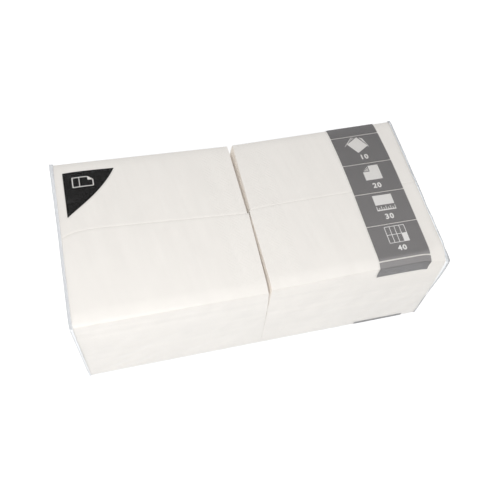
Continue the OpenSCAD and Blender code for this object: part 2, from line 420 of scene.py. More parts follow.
class NAPKINPACK_OT_stacks(bpy.types.Operator):
    """Build the four stacks of folded napkins"""

    bl_idname = "napkinpack.stacks"
    bl_label = "Napkin stacks"

    def execute(self, context):
        sizes = context.scene.napkin_sizes
        shape = PackShape(context.scene)
        plain = folded_napkin(shape, sizes, 8 * MM, 14 * MM, PLAIN_EDGE)
        tops = {
            -1: folded_napkin(shape, sizes, 2 * MM, 3 * MM, FLAT_EDGE),
            1: folded_napkin(shape, sizes, 2 * MM, 3 * MM, ROUND_EDGE),
        }
        paper = tissue_material(context.scene.finishes)
        for number, (name, place) in enumerate(STACKS.items()):
            side, face, count = place[:3]
            chance = random.Random(sizes.seed + number)
            bm = bmesh.new()
            for index in range(count):
                start = len(bm.verts)
                bm.from_mesh(tops[face] if index == count - 1 else plain)
                bm.verts.ensure_lookup_table()
                self.lay(shape, sizes, bm.verts[start:], place, index, chance)
            if face * side < 0:
                bmesh.ops.reverse_faces(bm, faces=bm.faces)
            piece = new_piece(name.replace("stack", "napkins"), bm, paper, "napkin", name)
            piece.data.set_sharp_from_angle(angle=math.radians(50))
        for mesh in (plain, *tops.values()):
            bpy.data.meshes.remove(mesh)
        return {"FINISHED"}

    def lay(self, shape, sizes, verts, place, index, chance):
        """Bends one napkin to its level and lays it in its stack."""
        side, face, count, inner_end, outer_end, slack, lift = place
        level = (index + 0.5) / count
        pitch = 1 / count
        air = sizes.air / shape.rise
        flat_fold = shape.fold_u(0)
        fold = shape.fold_u(level)
        bundle_size = 3
        bundle = random.Random(sizes.seed * count + index // bundle_size)
        inset = sizes.unevenness * (0.7 * bundle.random() + 0.3 * chance.random()) * (0.4 + level)
        slide = sizes.unevenness * chance.uniform(-0.8, 0.8)
        turn = sizes.unevenness / shape.outer_u * chance.uniform(-0.6, 0.6)
        span = flat_fold - shape.bend_start
        for v in verts:
            along, u, share = v.co
            if u > flat_fold:
                u = fold + u - flat_fold
            elif u > shape.bend_start:
                u = shape.bend_start + (u - shape.bend_start) * (fold - shape.bend_start) / span
            height = index * pitch + air / 2 + share * (pitch - air)
            z = shape.level_z(u, height)
            u -= inset * u / shape.outer_u
            end = inner_end + (outer_end - inner_end) * u / shape.outer_u
            end = shape.foot_gap / 2 + (end - shape.foot_gap / 2) * level ** 5
            far = along / sizes.leaf_length
            outer = shape.lean(1) + sizes.spread * level - slack * level ** 2
            x = side * ((end + slide) * (1 - far) + outer * far + along + turn * u * (1 - far))
            z += lift * level ** 12 * math.exp(-u / (4 * MM))
            y = face * u + shape.slip(x) * level ** 2 * (1 - (u / shape.outer_u) ** 2)
            v.co = shape.settle((x, y, z))


def principled(name):
    """A node material with one Principled BSDF. Returns the material, its nodes, links and shader."""
    material = bpy.data.materials.new(name)
    material.use_nodes = True
    nodes, links = material.node_tree.nodes, material.node_tree.links
    return material, nodes, links, nodes["Principled BSDF"]


def node(nodes, kind, **values):
    """Adds a node. Values name its own settings, or its inputs by their socket names."""
    made = nodes.new(kind)
    for key, value in values.items():
        if hasattr(made, key):
            setattr(made, key, value)
        else:
            made.inputs[key.replace("_", " ")].default_value = value
    return made


def value_group(name, inputs, outputs):
    """A new node group with value inputs, each with its default, and value outputs."""
    group = bpy.data.node_groups.new(name, "ShaderNodeTree")
    group.interface.new_socket("Place", in_out="INPUT", socket_type="NodeSocketVector")
    for key, default in inputs.items():
        group.interface.new_socket(key, in_out="INPUT", socket_type="NodeSocketFloat").default_value = default
    for key in outputs:
        group.interface.new_socket(key, in_out="OUTPUT", socket_type="NodeSocketFloat")
    start = group.nodes.new("NodeGroupInput")
    end = group.nodes.new("NodeGroupOutput")
    return group, start.outputs, end.inputs


def math_node(nodes, links, operation, *values):
    """A Math node over sockets or plain numbers. Returns its output."""
    made = node(nodes, "ShaderNodeMath", operation=operation)
    for socket, value in zip(made.inputs, values):
        if isinstance(value, bpy.types.NodeSocket):
            links.new(value, socket)
        else:
            socket.default_value = value
    return made.outputs[0]


def map_range(nodes, links, value, start, end, low=0.0, high=1.0, even=False):
    """Runs from low, where value is start, to high, where it is end, in an even S if asked."""
    made = node(nodes, "ShaderNodeMapRange", interpolation_type="SMOOTHSTEP" if even else "LINEAR")
    for key, number in (("From Min", start), ("From Max", end), ("To Min", low), ("To Max", high)):
        made.inputs[key].default_value = number
    links.new(value, made.inputs["Value"])
    return made.outputs["Result"]


def axes(nodes, links, vector):
    """The X, Y and Z outputs of a vector."""
    split = node(nodes, "ShaderNodeSeparateXYZ")
    links.new(vector, split.inputs["Vector"])
    return split.outputs


def facing_axes(nodes, links):
    """The X, Y and Z of the way that the surface faces."""
    return axes(nodes, links, node(nodes, "ShaderNodeNewGeometry").outputs["Normal"])


def colour_mix(nodes, links, factor, a, b):
    """Colour from a to b, each a socket or three values, by a factor socket. Returns its socket."""
    mix = node(nodes, "ShaderNodeMix", data_type="RGBA")
    links.new(factor, mix.inputs["Factor"])
    for key, tint in (("A", a), ("B", b)):
        if isinstance(tint, bpy.types.NodeSocket):
            links.new(tint, mix.inputs[key])
        else:
            mix.inputs[key].default_value = (*tint, 1)
    return mix.outputs["Result"]


def noise_node(nodes, links, place, scale, detail=2.0, stretch=(1, 1, 1), turn=(0, 0, 0)):
    """Noise over a place, turned and then stretched along its axes. Returns its value."""
    mapping = node(nodes, "ShaderNodeMapping", vector_type="TEXTURE")
    mapping.inputs["Rotation"].default_value = [math.radians(angle) for angle in turn]
    mapping.inputs["Scale"].default_value = [1 / share for share in stretch]
    links.new(place, mapping.inputs["Vector"])
    made = node(nodes, "ShaderNodeTexNoise", Scale=scale, Detail=detail)
    links.new(mapping.outputs["Vector"], made.inputs["Vector"])
    return made.outputs["Fac"]


def mottle_group():
    """Fine and broad unevenness of a surface, round 0.5."""
    if "mottle" in bpy.data.node_groups:
        return bpy.data.node_groups["mottle"]
    group, start, end = value_group("mottle", {"Fine": 1500.0, "Broad": 90.0}, ("Grain", "Cloud"))
    nodes, links = group.nodes, group.links
    for scale, output, detail in (("Fine", "Grain", 3.0), ("Broad", "Cloud", 2.0)):
        made = node(nodes, "ShaderNodeTexNoise", Detail=detail)
        links.new(start["Place"], made.inputs["Vector"])
        links.new(start[scale], made.inputs["Scale"])
        links.new(made.outputs["Fac"], end[output])
    return group


def mottle(nodes, links, fine, broad):
    """Places the mottle group on Object coordinates. Returns the place, grain and cloud sockets."""
    place = node(nodes, "ShaderNodeTexCoord").outputs["Object"]
    made = nodes.new("ShaderNodeGroup")
    made.node_tree = mottle_group()
    made.inputs["Fine"].default_value = fine
    made.inputs["Broad"].default_value = broad
    links.new(place, made.inputs["Place"])
    return place, made.outputs["Grain"], made.outputs["Cloud"]


def colour_run(nodes, links, tint, factor, low, high):
    """Colour that runs from low to high times the tint, by a factor socket. Returns its socket."""
    return colour_mix(nodes, links, factor, [c * low for c in tint], [min(1.0, c * high) for c in tint])


def bump(nodes, links, shader, height, distance):
    """Gives the shader a bumped normal, of that height socket times the distance."""
    made = node(nodes, "ShaderNodeBump", Strength=1.0, Distance=distance)
    links.new(height, made.inputs["Height"])
    links.new(made.outputs["Normal"], shader.inputs["Normal"])


def emboss_height(nodes, links, place):
    """Height of the embossed border on the upper faces beside the middle gap: squares of slanting
    lines, each square turned against the next."""
    split = axes(nodes, links, place)
    x, y = split["X"], split["Y"]
    pitch, lines = 2.6 * MM, 4
    waves, cells = [], []
    for operation in ("ADD", "SUBTRACT"):
        turned = math_node(nodes, links, operation, x, y)
        phase = math_node(nodes, links, "MULTIPLY", turned, 2 * math.pi / (math.sqrt(2) * pitch))
        wave = math_node(nodes, links, "ADD", math_node(nodes, links, "SINE", phase), 1.0)
        waves.append(math_node(nodes, links, "POWER", wave, 2.0))
        slow = math_node(nodes, links, "SINE", math_node(nodes, links, "MULTIPLY", phase, 0.5 / lines))
        cells.append(math_node(nodes, links, "GREATER_THAN", slow, 0.0))
    choice = node(nodes, "ShaderNodeMix", data_type="FLOAT")
    links.new(math_node(nodes, links, "COMPARE", cells[0], cells[1], 0.5), choice.inputs["Factor"])
    links.new(waves[0], choice.inputs["A"])
    links.new(waves[1], choice.inputs["B"])
    fade = map_range(nodes, links, math_node(nodes, links, "ABSOLUTE", x), 28 * MM, 34 * MM, 1.0, 0.0)
    upper = math_node(nodes, links, "GREATER_THAN", facing_axes(nodes, links)["Z"], 0.6)
    border = math_node(nodes, links, "MULTIPLY", fade, upper)
    return math_node(nodes, links, "MULTIPLY", choice.outputs["Result"], border)


def tissue_material(finishes):
    """White tissue: soft crepe, fine fibres, an embossed border beside the middle gap, a random mottle of
    tone, and painted shading in streaks of soft folds, which on the upright long sides is painted shading of
    the layers of the stack and of slanting ripples. The cut ends beside the gap have a painted glow."""
    material, nodes, links, shader = principled("white_tissue")
    shader.inputs["Roughness"].default_value = 0.95
    shader.inputs["Specular IOR Level"].default_value = 0.1
    place, grain, cloud = mottle(nodes, links, 1400, 60)
    crepe = noise_node(nodes, links, place, 420, 2.0, (2.6, 0.5, 0.5))
    folds = noise_node(nodes, links, place, 95, 1.0, (1.0, 0.12, 0.5), (0, 0, 9))
    height = math_node(nodes, links, "MULTIPLY", emboss_height(nodes, links, place), 0.2)
    for wave, share in ((grain, 0.5), (crepe, 0.35), (folds, 7.0)):
        height = math_node(nodes, links, "MULTIPLY_ADD", wave, share, height)
    bump(nodes, links, shader, height, 0.1 * MM)
    # Painted shading: colour streaks of soft folds on the tops, laid over a random mottle of tone
    tone_and_painted_shading = noise_node(nodes, links, place, 75, 2.0, (1.0, 0.16, 0.4), (0, 0, 11))
    cloud = math_node(nodes, links, "MULTIPLY", cloud, 0.35)
    tone_and_painted_shading = math_node(nodes, links, "MULTIPLY_ADD", tone_and_painted_shading, 0.65, cloud)
    facing = facing_axes(nodes, links)
    # Painted shading on the upright long sides: lines between the stack's layers, and slanting ripples
    layers = noise_node(nodes, links, place, 190, 2.0, (0.02, 0.02, 1.0))
    painted_ripple_shading = noise_node(nodes, links, place, 85, 1.0, (0.13, 1.0, 1.0), (0, -48, 0))
    upright = math_node(nodes, links, "ABSOLUTE", facing["Y"])
    for wave, share in ((layers, 1.1), (painted_ripple_shading, 0.8)):
        wave = math_node(nodes, links, "MULTIPLY", math_node(nodes, links, "SUBTRACT", wave, 0.5), share)
        tone_and_painted_shading = math_node(nodes, links, "MULTIPLY_ADD", wave, upright, tone_and_painted_shading)
    paper = colour_run(nodes, links, finishes.paper, tone_and_painted_shading, 0.95, 1.05)
    cut_end = math_node(nodes, links, "ABSOLUTE", facing["X"])
    links.new(colour_mix(nodes, links, cut_end, paper, finishes.cut), shader.inputs["Base Color"])
    # Painted light: the cut ends beside the gap give off light in the cut colour, lightening the shade in the
    # gap
    glow = math_node(nodes, links, "MULTIPLY", cut_end, beside_gap(nodes, links, place))
    links.new(colour_run(nodes, links, finishes.cut, glow, 0.0, 1.0), shader.inputs["Emission Color"])
    shader.inputs["Emission Strength"].default_value = finishes.glow
    return material


def beside_gap(nodes, links, place):
    """1 on the upper part of the inner ends, where a painted glow lightens the shade in the gap, and 0
    elsewhere.
    """
    split = axes(nodes, links, place)
    height = map_range(nodes, links, split["Z"], 60 * MM, 95 * MM, even=True)
    from_gap = math_node(nodes, links, "ABSOLUTE", split["X"])
    near = math_node(nodes, links, "LESS_THAN", from_gap, 10 * MM)
    return math_node(nodes, links, "MULTIPLY", height, near)


def film_material(finishes):
    """Clear film: all that shows of it is its gloss, laid thinly over what is under it. The gloss grows at a
    flat angle; on the creases it grows more, in its darker rim tint, as painted shade along them; and where
    the film is gathered at the ends, it is milky."""
    material, nodes, links, shader = principled("clear_film")
    place, grain, cloud = mottle(nodes, links, 260, 45)
    links.new(map_range(nodes, links, cloud, 0, 1, 0.1, 0.2), shader.inputs["Roughness"])
    pulled = noise_node(nodes, links, place, 55, 2.0, (0.35, 1.6, 1.6))
    bump(nodes, links, shader, math_node(nodes, links, "ADD", pulled, grain), 0.12 * MM)
    facing = node(nodes, "ShaderNodeLayerWeight").outputs["Facing"]
    crease = node(nodes, "ShaderNodeAttribute", attribute_name="crease").outputs["Fac"]
    gathered = gathered_ends(nodes, links, place)
    shader.inputs["Metallic"].default_value = 1.0
    # Painted shade: on the creases the gloss turns to the darker rim tint
    rim = math_node(nodes, links, "ADD", math_node(nodes, links, "POWER", facing, 1.5), crease)
    rim = math_node(nodes, links, "MAXIMUM", rim, gathered)
    tint = colour_mix(nodes, links, rim, finishes.film, finishes.film_rim)
    links.new(tint, shader.inputs["Base Color"])
    flat_angle, painted_crease_shade, plain = 0.3, 0.035, 0.004
    alpha = math_node(nodes, links, "MULTIPLY", math_node(nodes, links, "POWER", facing, 3.0), flat_angle)
    milky = math_node(nodes, links, "MULTIPLY", gathered, finishes.milkiness)
    alpha = math_node(nodes, links, "MAXIMUM", alpha, milky)
    # Painted shade: more gloss along the creases
    alpha = math_node(nodes, links, "MULTIPLY_ADD", crease, painted_crease_shade, alpha)
    links.new(math_node(nodes, links, "ADD", alpha, plain), shader.inputs["Alpha"])
    return material


def gathered_ends(nodes, links, place):
    """1 where the film turns from the long sides into the ends, and 0 elsewhere."""
    middle = 0.3 * MM
    from_middle = math_node(nodes, links, "SUBTRACT", axes(nodes, links, place)["X"], middle)
    from_middle = math_node(nodes, links, "ABSOLUTE", from_middle)
    edge = map_range(nodes, links, from_middle, 165.3 * MM, 166.5 * MM, even=True)
    endwise = math_node(nodes, links, "ABSOLUTE", facing_axes(nodes, links)["X"])
    return math_node(nodes, links, "MULTIPLY", edge, math_node(nodes, links, "LESS_THAN", endwise, 0.9))


def sheen(nodes, links, place):
    """Painted sheen of the print, as a lighter colour: a little more towards the front, much more on the bent
    front edge, and hardly any on the upright front."""
    y, forward = axes(nodes, links, place)["Y"], facing_axes(nodes, links)["Y"]
    to_front, bent, upright = 0.3, 0.62, -0.74
    total = map_range(nodes, links, y, 70 * MM, -60 * MM, 0, to_front, even=True)
    for start, end, amount in ((-0.06, -0.3, bent), (-0.72, -0.85, upright)):
        part = map_range(nodes, links, forward, start, end, 0, amount, even=True)
        total = math_node(nodes, links, "ADD", part, total)
    return total


def ink_material(name, tint):
    """Satin ink, slightly mottled, with a painted sheen as a lighter colour."""
    material, nodes, links, shader = principled(name)
    shader.inputs["Specular IOR Level"].default_value = 0.1
    place, grain, cloud = mottle(nodes, links, 700, 70)
    # Random mottle of tone, plus the painted sheen as a lighter colour
    level = math_node(nodes, links, "MULTIPLY_ADD", cloud, 0.16, sheen(nodes, links, place))
    links.new(colour_run(nodes, links, tint, level, 0.83, 1.63), shader.inputs["Base Color"])
    links.new(map_range(nodes, links, grain, 0, 1, 0.38, 0.6), shader.inputs["Roughness"])
    bump(nodes, links, shader, cloud, 0.1 * MM)
    return material


def seam_material(finishes):
    """The welded lap: the same film, milkier, with fine weld ribs along it."""
    material, nodes, links, shader = principled("welded_film")
    place, _, cloud = mottle(nodes, links, 500, 80)
    links.new(colour_run(nodes, links, finishes.film, cloud, 0.95, 1.05), shader.inputs["Base Color"])
    shader.inputs["Roughness"].default_value = 0.4
    shader.inputs["Alpha"].default_value = 0.35
    rib_pitch, rib_height = 1.2 * MM, 0.06 * MM
    phase = math_node(nodes, links, "MULTIPLY", axes(nodes, links, place)["Y"], 2 * math.pi / rib_pitch)
    bump(nodes, links, shader, math_node(nodes, links, "SINE", phase), rib_height)
    return material


# Creases of the film: start, end and width in millimetres on the straight pack, and height as a share of
# twice the wrap's wrinkle, which also sets the painted shade along each crease
CREASES = (
    ((-163, -85, 9), (-112, -85, 35), 3.0, 0.45),
    ((-150, -85, 3), (-92, -85, 31), 3.0, 0.4),
    ((-128, -85, 2), (-78, -85, 24), 3.2, 0.3),
    ((-150, -85, 26), (-104, -85, 52), 3.0, 0.35),
    ((-122, -85, 48), (-74, -85, 68), 3.6, 0.3),
    ((-90, -85, 14), (-30, -85, 40), 3.6, 0.25),
    ((98, -85, 10), (118, -85, 50), 1.8, 0.4),
    ((80, -85, 8), (102, -85, 52), 3.0, 0.3),
    ((60, -85, 12), (84, -85, 56), 3.4, 0.25),
    ((118, -85, 30), (148, -85, 74), 3.0, 0.35),
    ((136, -85, 20), (158, -85, 70), 3.0, 0.35),
    ((26, -85, 16), (62, -85, 58), 3.6, 0.2),
    ((150, -85, 8), (166, -85, 46), 2.4, 0.35),
    ((-168, 84, 100), (-150, 60, 110), 1.8, 0.4),
    ((-168, 30, 110), (-148, 36, 110), 1.6, 0.35),
    ((-168, 14, 110), (-154, 22, 110), 1.6, 0.3),
    ((168, -36, 110), (152, -80, 108), 2.0, 0.5),
    ((168, -60, 109), (158, -83, 106), 1.8, 0.5),
    ((168, 40, 110), (158, 10, 110), 1.8, 0.35),
    ((168, 8, 110), (152, 3, 110), 1.3, 0.5),
    ((168, 80, 106), (156, 50, 110), 1.8, 0.35),
    ((-60, -82, 108), (-58, -30, 110), 2.2, 0.2),
    ((-84, -80, 108), (-80, -40, 110), 2.4, 0.2),
    ((40, -80, 108), (44, -30, 110), 2.4, 0.2),
    ((30, 20, 110), (36, 70, 109), 2.4, 0.2),
    ((-166, 85, 6), (-120, 85, 36), 2.6, 0.45),
    ((166, 85, 4), (128, 85, 42), 2.6, 0.5),
    ((150, 85, 90), (146, 85, 40), 2.6, 0.4),
    ((-140, 85, 94), (-146, 85, 44), 2.6, 0.4),
    ((20, 85, 6), (70, 85, 24), 2.6, 0.3),
)


class NAPKINPACK_OT_film(bpy.types.Operator):
    """Build the film: a tube with a lap seam, and the folded ends"""

    bl_idname = "napkinpack.film"
    bl_label = "Film wrap"

    def execute(self, context):
        wrap = context.scene.wrap_sizes
        shape = PackShape(context.scene)
        half = shape.half_section(wrap.offset, wrap.spacing)
        ring = half + [(-y, z) for y, z in half[-2:0:-1]]
        end = shape.wrap_end - END_INSET
        bm = bmesh.new()
        verts = [bm.verts.new((-end, y, z)) for y, z in ring]
        first = [bm.edges.new(pair) for pair in zip(verts, verts[1:] + verts[:1])]
        last = sweep(bm, first, evenly(-end, end, wrap.spacing))
        for side, edges in ((-1, first), (1, last)):
            self.fold_end(bm, shape, wrap, side, edges)
        bmesh.ops.recalc_face_normals(bm, faces=bm.faces)
        self.refine(bm)
        self.wrinkle(bm, shape, wrap)
        for v in bm.verts:
            v.co = shape.settle(v.co)
        piece = new_piece("film", bm, film_material(context.scene.finishes), "film", "film_wrap")
        thicken(piece, "wall", wrap.film)
        self.seam(shape, wrap, context.scene.finishes)
        return {"FINISHED"}

    def fold_end(self, bm, shape, wrap, side, edges):
        """Folds the end in: the sides first, then the lower flap up and the upper flap down."""
        middle_z = shape.ground + shape.rise / 2
        half_w, half_h = shape.outer_u + wrap.offset, shape.rise / 2 + wrap.offset
        runs = {"upper": [], "lower": [], "front": [], "back": []}
        for edge in edges:
            across, up = (edge.verts[0].co + edge.verts[1].co).yz / 2
            up -= middle_z
            if half_h - abs(up) < half_w - abs(across):
                runs["upper" if up > 0 else "lower"].append(edge)
            else:
                runs["back" if across > 0 else "front"].append(edge)
        flap_depth = half_h + wrap.flap_lap / 2
        gusset_depth = half_h - 2 * MM
        gusset_layer, flap_layer, lapped_layer = 0.1 * MM, 0.35 * MM, 0.3 * MM
        lap_start = half_h - wrap.flap_lap
        for run, edges in runs.items():
            flap = run in ("upper", "lower")
            inwards = -1 if run in ("upper", "back") else 1
            depths = evenly(0, flap_depth if flap else gusset_depth, wrap.spacing)
            for before, depth in zip(depths, depths[1:]):
                edges, verts = extruded(bm, edges)
                for v in verts:
                    _, y, z = v.co
                    if flap:
                        y *= (half_w - depth) / (half_w - before)
                        z += (depth - before) * inwards
                        layer = flap_layer
                        if run == "upper":
                            layer += lapped_layer * ramp(depth, lap_start, lap_start + 6 * MM)
                    else:
                        y += (depth - before) * inwards
                        z = middle_z + (z - middle_z) * (half_h - depth) / (half_h - before)
                        layer = gusset_layer
                    v.co = (side * (shape.wrap_end - END_INSET + layer), y, z)

    def refine(self, bm):
        """Gives the mesh more points along the creases."""
        near = set()
        for start, end, width, _ in CREASES:
            start, end = Vector(start) * MM, Vector(end) * MM
            near.update(
                e for e in bm.edges
                if crease_height((e.verts[0].co + e.verts[1].co) / 2, start, end, width * MM) > 0.04
            )
        bmesh.ops.subdivide_edges(bm, edges=list(near), cuts=1, use_grid_fill=True)

    def wrinkle(self, bm, shape, wrap):
        """Lifts the film off the napkins in creases and soft billows, and lets its ends stand proud."""
        creases = [(Vector(a) * MM, Vector(b) * MM, w * MM, h) for a, b, w, h in CREASES]
        crease = bm.verts.layers.float.new("crease")
        bm.normal_update()
        moves = []
        for v in bm.verts:
            normal = v.normal.copy()
            v[crease] = sum(h * crease_height(v.co, a, b, w) for a, b, w, h in creases)
            lift = v[crease] * 2 * wrap.wrinkle
            billow = 0.5 + 0.5 * noise.noise(v.co / (16 * MM))
            ripple = noise.noise(Vector((v.co.x / 5, v.co.y / 11, v.co.z / 8)) / MM)
            near_end = ramp(abs(v.co.x), 156 * MM, 164 * MM)
            billow += 0.35 * ripple * (1 - 0.8 * near_end)
            lift += 0.5 * wrap.wrinkle * max(0.0, billow)
            underneath = normal.z < -0.3
            moves.append((v, normal * (0 if underneath else lift)))
        for v, move in moves:
            v.co += move
            proud = ramp(abs(v.co.x), shape.wrap_end - 6 * MM, shape.wrap_end - MM)
            v.co.x += math.copysign(proud * self.reach(shape, wrap, v.co), v.co.x)

    def reach(self, shape, wrap, point):
        """How far the film's end stands proud at a point: more at the top, with an ear at the right."""
        level, across = shape.level_of(point.z), point.y / shape.outer_u
        at_foot, by_height, front_right_less, back_left_share = 0.3 * MM, 0.6 * MM, 1.4 * MM, 0.18
        reach = at_foot + by_height * level
        if point.x < 0:
            return reach + back_left_share * wrap.ear * level * ramp(across, 0.1, 1)
        reach -= front_right_less * level * ramp(-across, 0, 0.5)
        return reach + wrap.ear * ramp(level, 0.35, 0.95) * ramp(-across, 0.8, 1)

    def seam(self, shape, wrap, finishes):
        """The second ply of the lap seam, along the underside."""
        bm = bmesh.new()
        bottom = shape.ground - wrap.offset + wrap.film
        step = 0.1 * MM
        row = [
            bm.verts.new((-shape.stack_end, y, bottom + (step if y > 0 else 0.0)))
            for y in evenly(-wrap.seam_width / 2, wrap.seam_width / 2, 1.5 * MM)
        ]
        edges = [bm.edges.new(pair) for pair in zip(row, row[1:])]
        sweep(bm, edges, evenly(-shape.stack_end, shape.stack_end, 3 * MM))
        bmesh.ops.recalc_face_normals(bm, faces=bm.faces)
        if sum(f.normal.z for f in bm.faces) > 0:
            bmesh.ops.reverse_faces(bm, faces=bm.faces)
        piece = new_piece("film_lap_seam", bm, seam_material(finishes), "film")
        thicken(piece, "wall", wrap.film)


def crease_height(point, start, end, width):
    """Height of a crease's ridge at a point, from 0 to 1."""
    run = end - start
    along = min(max((point - start).dot(run) / run.length_squared, 0.0), 1.0)
    off = (point - start - run * along).length
    if off > 3 * width:
        return 0.0
    return math.exp(-(off / width) ** 2) * math.sin(math.pi * (0.06 + 0.88 * along)) ** 0.7


def arc_places(places, start, end):
    """The part of a line of (y, z) places that lies from start to end, two lengths along it."""
    reached, marks = 0.0, []
    for a, b in zip(places, places[1:]):
        run = math.dist(a, b)
        marks.append((reached, reached + run, a, b))
        reached += run
    inner = [m[0] for m in marks if start + TINY < m[0] < end - TINY]
    cuts = sorted({start, end, *inner})
    found = []
    for cut in cuts:
        for low, high, a, b in marks:
            if low <= cut <= high:
                share = (cut - low) / (high - low)
                found.append((a[0] + (b[0] - a[0]) * share, a[1] + (b[1] - a[1]) * share))
                break
    return found


class NAPKINPACK_OT_print(bpy.types.Operator):
    """Print the band, its pictograms and numbers, and the corner field on the film"""

    bl_idname = "napkinpack.print"
    bl_label = "Print"

    def execute(self, context):
        scene = context.scene
        sizes, wrap = scene.print_sizes, scene.wrap_sizes
        shape = PackShape(scene)
        grey = ink_material("grey_ink", scene.finishes.grey)
        black = ink_material("black_ink", scene.finishes.black)
        white = ink_material("white_ink", scene.finishes.white)
        self.band(shape, sizes, wrap, grey)
        self.underside(shape, sizes, wrap, grey)
        self.corner(shape, sizes, wrap, black)
        self.pictograms(shape, sizes, wrap, white)
        return {"FINISHED"}

    def finish(self, bm, shape, sizes, name, material, slot, *nodes):
        """Settles a print with the pack and gives it its thickness."""
        for v in bm.verts:
            v.co = shape.settle(shape.pulled_print(v.co) if v.co.x > 0 else v.co)
        bmesh.ops.recalc_face_normals(bm, faces=bm.faces)
        middle = Vector((0, 0, shape.rise / 2))
        for face in bm.faces:
            if face.normal.dot(face.calc_center_median() - middle) < 0:
                face.normal_flip()
        for edge in bm.edges:
            edge.smooth = not edge.is_boundary
        thicken(new_piece(name, bm, material, slot, *nodes), "ink", sizes.ink)

    def strip(self, bm, places, stations):
        """A printed field over the places, drawn along the stations."""
        row = [bm.verts.new((stations[0], y, z)) for y, z in places]
        edges = [bm.edges.new(pair) for pair in zip(row, row[1:])]
        sweep(bm, edges, stations)

    def band(self, shape, sizes, wrap, material):
        """The band across the top, in fields with clear lines between them, down to its foot on each face."""
        low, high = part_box("print_band_top")
        half = shape.half_section(wrap.offset - PRINT_DEPTH, 2 * MM)
        full = [(-y, z) for y, z in reversed(half)] + half[1:]
        foot = low.z - sizes.band_drop
        full = [p for p in full if p[1] > foot - 4 * MM]
        lengths = [0.0]
        for a, b in zip(full, full[1:]):
            lengths.append(lengths[-1] + math.dist(a, b))
        middle = lengths[-1] / 2
        below_front = next(
            lengths[i] + (foot - full[i][1]) / (full[i + 1][1] - full[i][1]) * (lengths[i + 1] - lengths[i])
            for i in range(len(full) - 1) if full[i][1] <= foot < full[i + 1][1]
        )
        ends = [below_front, 2 * middle - below_front]
        margin = 6 * MM
        count = 2 * int((shape.outer_u - sizes.line_shift - margin) / sizes.line_pitch) + 1
        lines = [
            middle + (i - (count - 1) / 2) * sizes.line_pitch - sizes.line_shift for i in range(count)
        ]
        lines[0] -= sizes.first_line_shift
        halves = [sizes.line_width * (0.9 if i == 0 else 0.5) for i in range(count)]
        starts = [ends[0]] + [line + half for line, half in zip(lines, halves)]
        stops = [line - half for line, half in zip(lines, halves)] + [ends[1]]
        bm = bmesh.new()
        stations = evenly(low.x, high.x, 2 * MM)
        for start, stop in zip(starts, stops):
            self.strip(bm, arc_places(full, start, stop), stations)
        self.finish(bm, shape, sizes, "print_band", material, "ink_grey", "print_band_top")

    def underside(self, shape, sizes, wrap, material):
        """The band under the pack, up a little on each face, and clear of the lap seam."""
        low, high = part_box("print_band_underside")
        half = shape.half_section(wrap.offset - PRINT_DEPTH, 3 * MM)
        seam = wrap.seam_width / 2 + 0.1 * MM
        run = [p for p in half if p[1] < high.z + 3 * MM and p[0] > seam]
        top = next(i for i in range(len(run)) if run[i][1] < high.z)
        if top > 0:
            a, b = run[top - 1], run[top]
            share = (a[1] - high.z) / (a[1] - b[1])
            run = [(a[0] + (b[0] - a[0]) * share, high.z)] + run[top:]
        run.append((seam, run[-1][1]))
        bm = bmesh.new()
        stations = evenly(low.x - sizes.lower_band_reach, high.x, 3 * MM)
        self.strip(bm, run, stations)
        self.strip(bm, [(-y, z) for y, z in run], stations)
        self.finish(bm, shape, sizes, "print_band_below", material, "ink_grey", "print_band_underside")

    def on_top(self, shape, x, y, height):
        """A point of the straight pack's top at x and y, height above the napkins."""
        return Vector((x, y, shape.level_z(abs(y), 1) + height))

    def corner(self, shape, sizes, wrap, material):
        """The corner field: a right angle at the back left, its free edge a shallow arc."""
        low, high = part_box("print_corner_field")
        size = high - low
        span = math.hypot(size.x, size.y)
        radius = ((span / 2) ** 2 + sizes.bulge ** 2) / (2 * sizes.bulge)
        bm = bmesh.new()
        bmesh.ops.create_grid(bm, x_segments=24, y_segments=26, size=0.5)
        bmesh.ops.scale(bm, verts=bm.verts, vec=(size.x, size.y, 1))
        middle = Vector(((low.x + high.x) / 2, (low.y + high.y) / 2, 0))
        bmesh.ops.translate(bm, verts=bm.verts, vec=middle)
        centre = middle + Vector((-size.y, size.x, 0)) * (radius - sizes.bulge) / span
        reach = math.asin(span / 2 / radius)
        facing = math.atan2(-size.x, size.y)
        cuts = 16
        for i in range(cuts):
            angle = facing + reach * (2 * (i + 0.5) / cuts - 1)
            outwards = Vector((math.cos(angle), math.sin(angle), 0))
            bmesh.ops.bisect_plane(
                bm, geom=bm.verts[:] + bm.edges[:] + bm.faces[:], dist=TINY,
                plane_co=centre + outwards * radius, plane_no=outwards, clear_outer=True,
            )
        for v in bm.verts:
            v.co = self.on_top(shape, v.co.x, v.co.y - sizes.corner_shift, wrap.offset - PRINT_DEPTH)
        self.finish(bm, shape, sizes, "print_corner", material, "ink_black", "print_corner_field")

    def pictograms(self, shape, sizes, wrap, material):
        """White signs and numbers on the band, one pair to a field, and a folded napkin on the corner."""
        low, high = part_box("print_band_top")
        middle = (low.x + high.x) / 2 + 0.8 * MM
        sign_y, number_y = 24 * MM, 8.4 * MM
        marks = (sheet_fan, turned_corner, measured_sheet, folded_grid)
        signs, numbers = bmesh.new(), bmesh.new()
        for i, mark in enumerate(marks):
            line = (len(marks) / 2 - 1 - i) * sizes.line_pitch - sizes.line_shift
            self.place(signs, mark, middle, line + sign_y)
            self.number(numbers, sizes, 10 * (i + 1), middle, line + number_y)
        field_low, field_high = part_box("print_corner_field")
        in_from_end, in_from_back = 17 * MM, 15 * MM
        self.place(signs, folded_napkin_sign, field_low.x + in_from_end, field_high.y - in_from_back)
        for name, bm in (("print_signs", signs), ("print_numbers", numbers)):
            for v in bm.verts:
                v.co = self.on_top(shape, v.co.x, v.co.y, wrap.offset - SIGN_DEPTH)
            self.finish(bm, shape, sizes, name, material, "ink_grey")

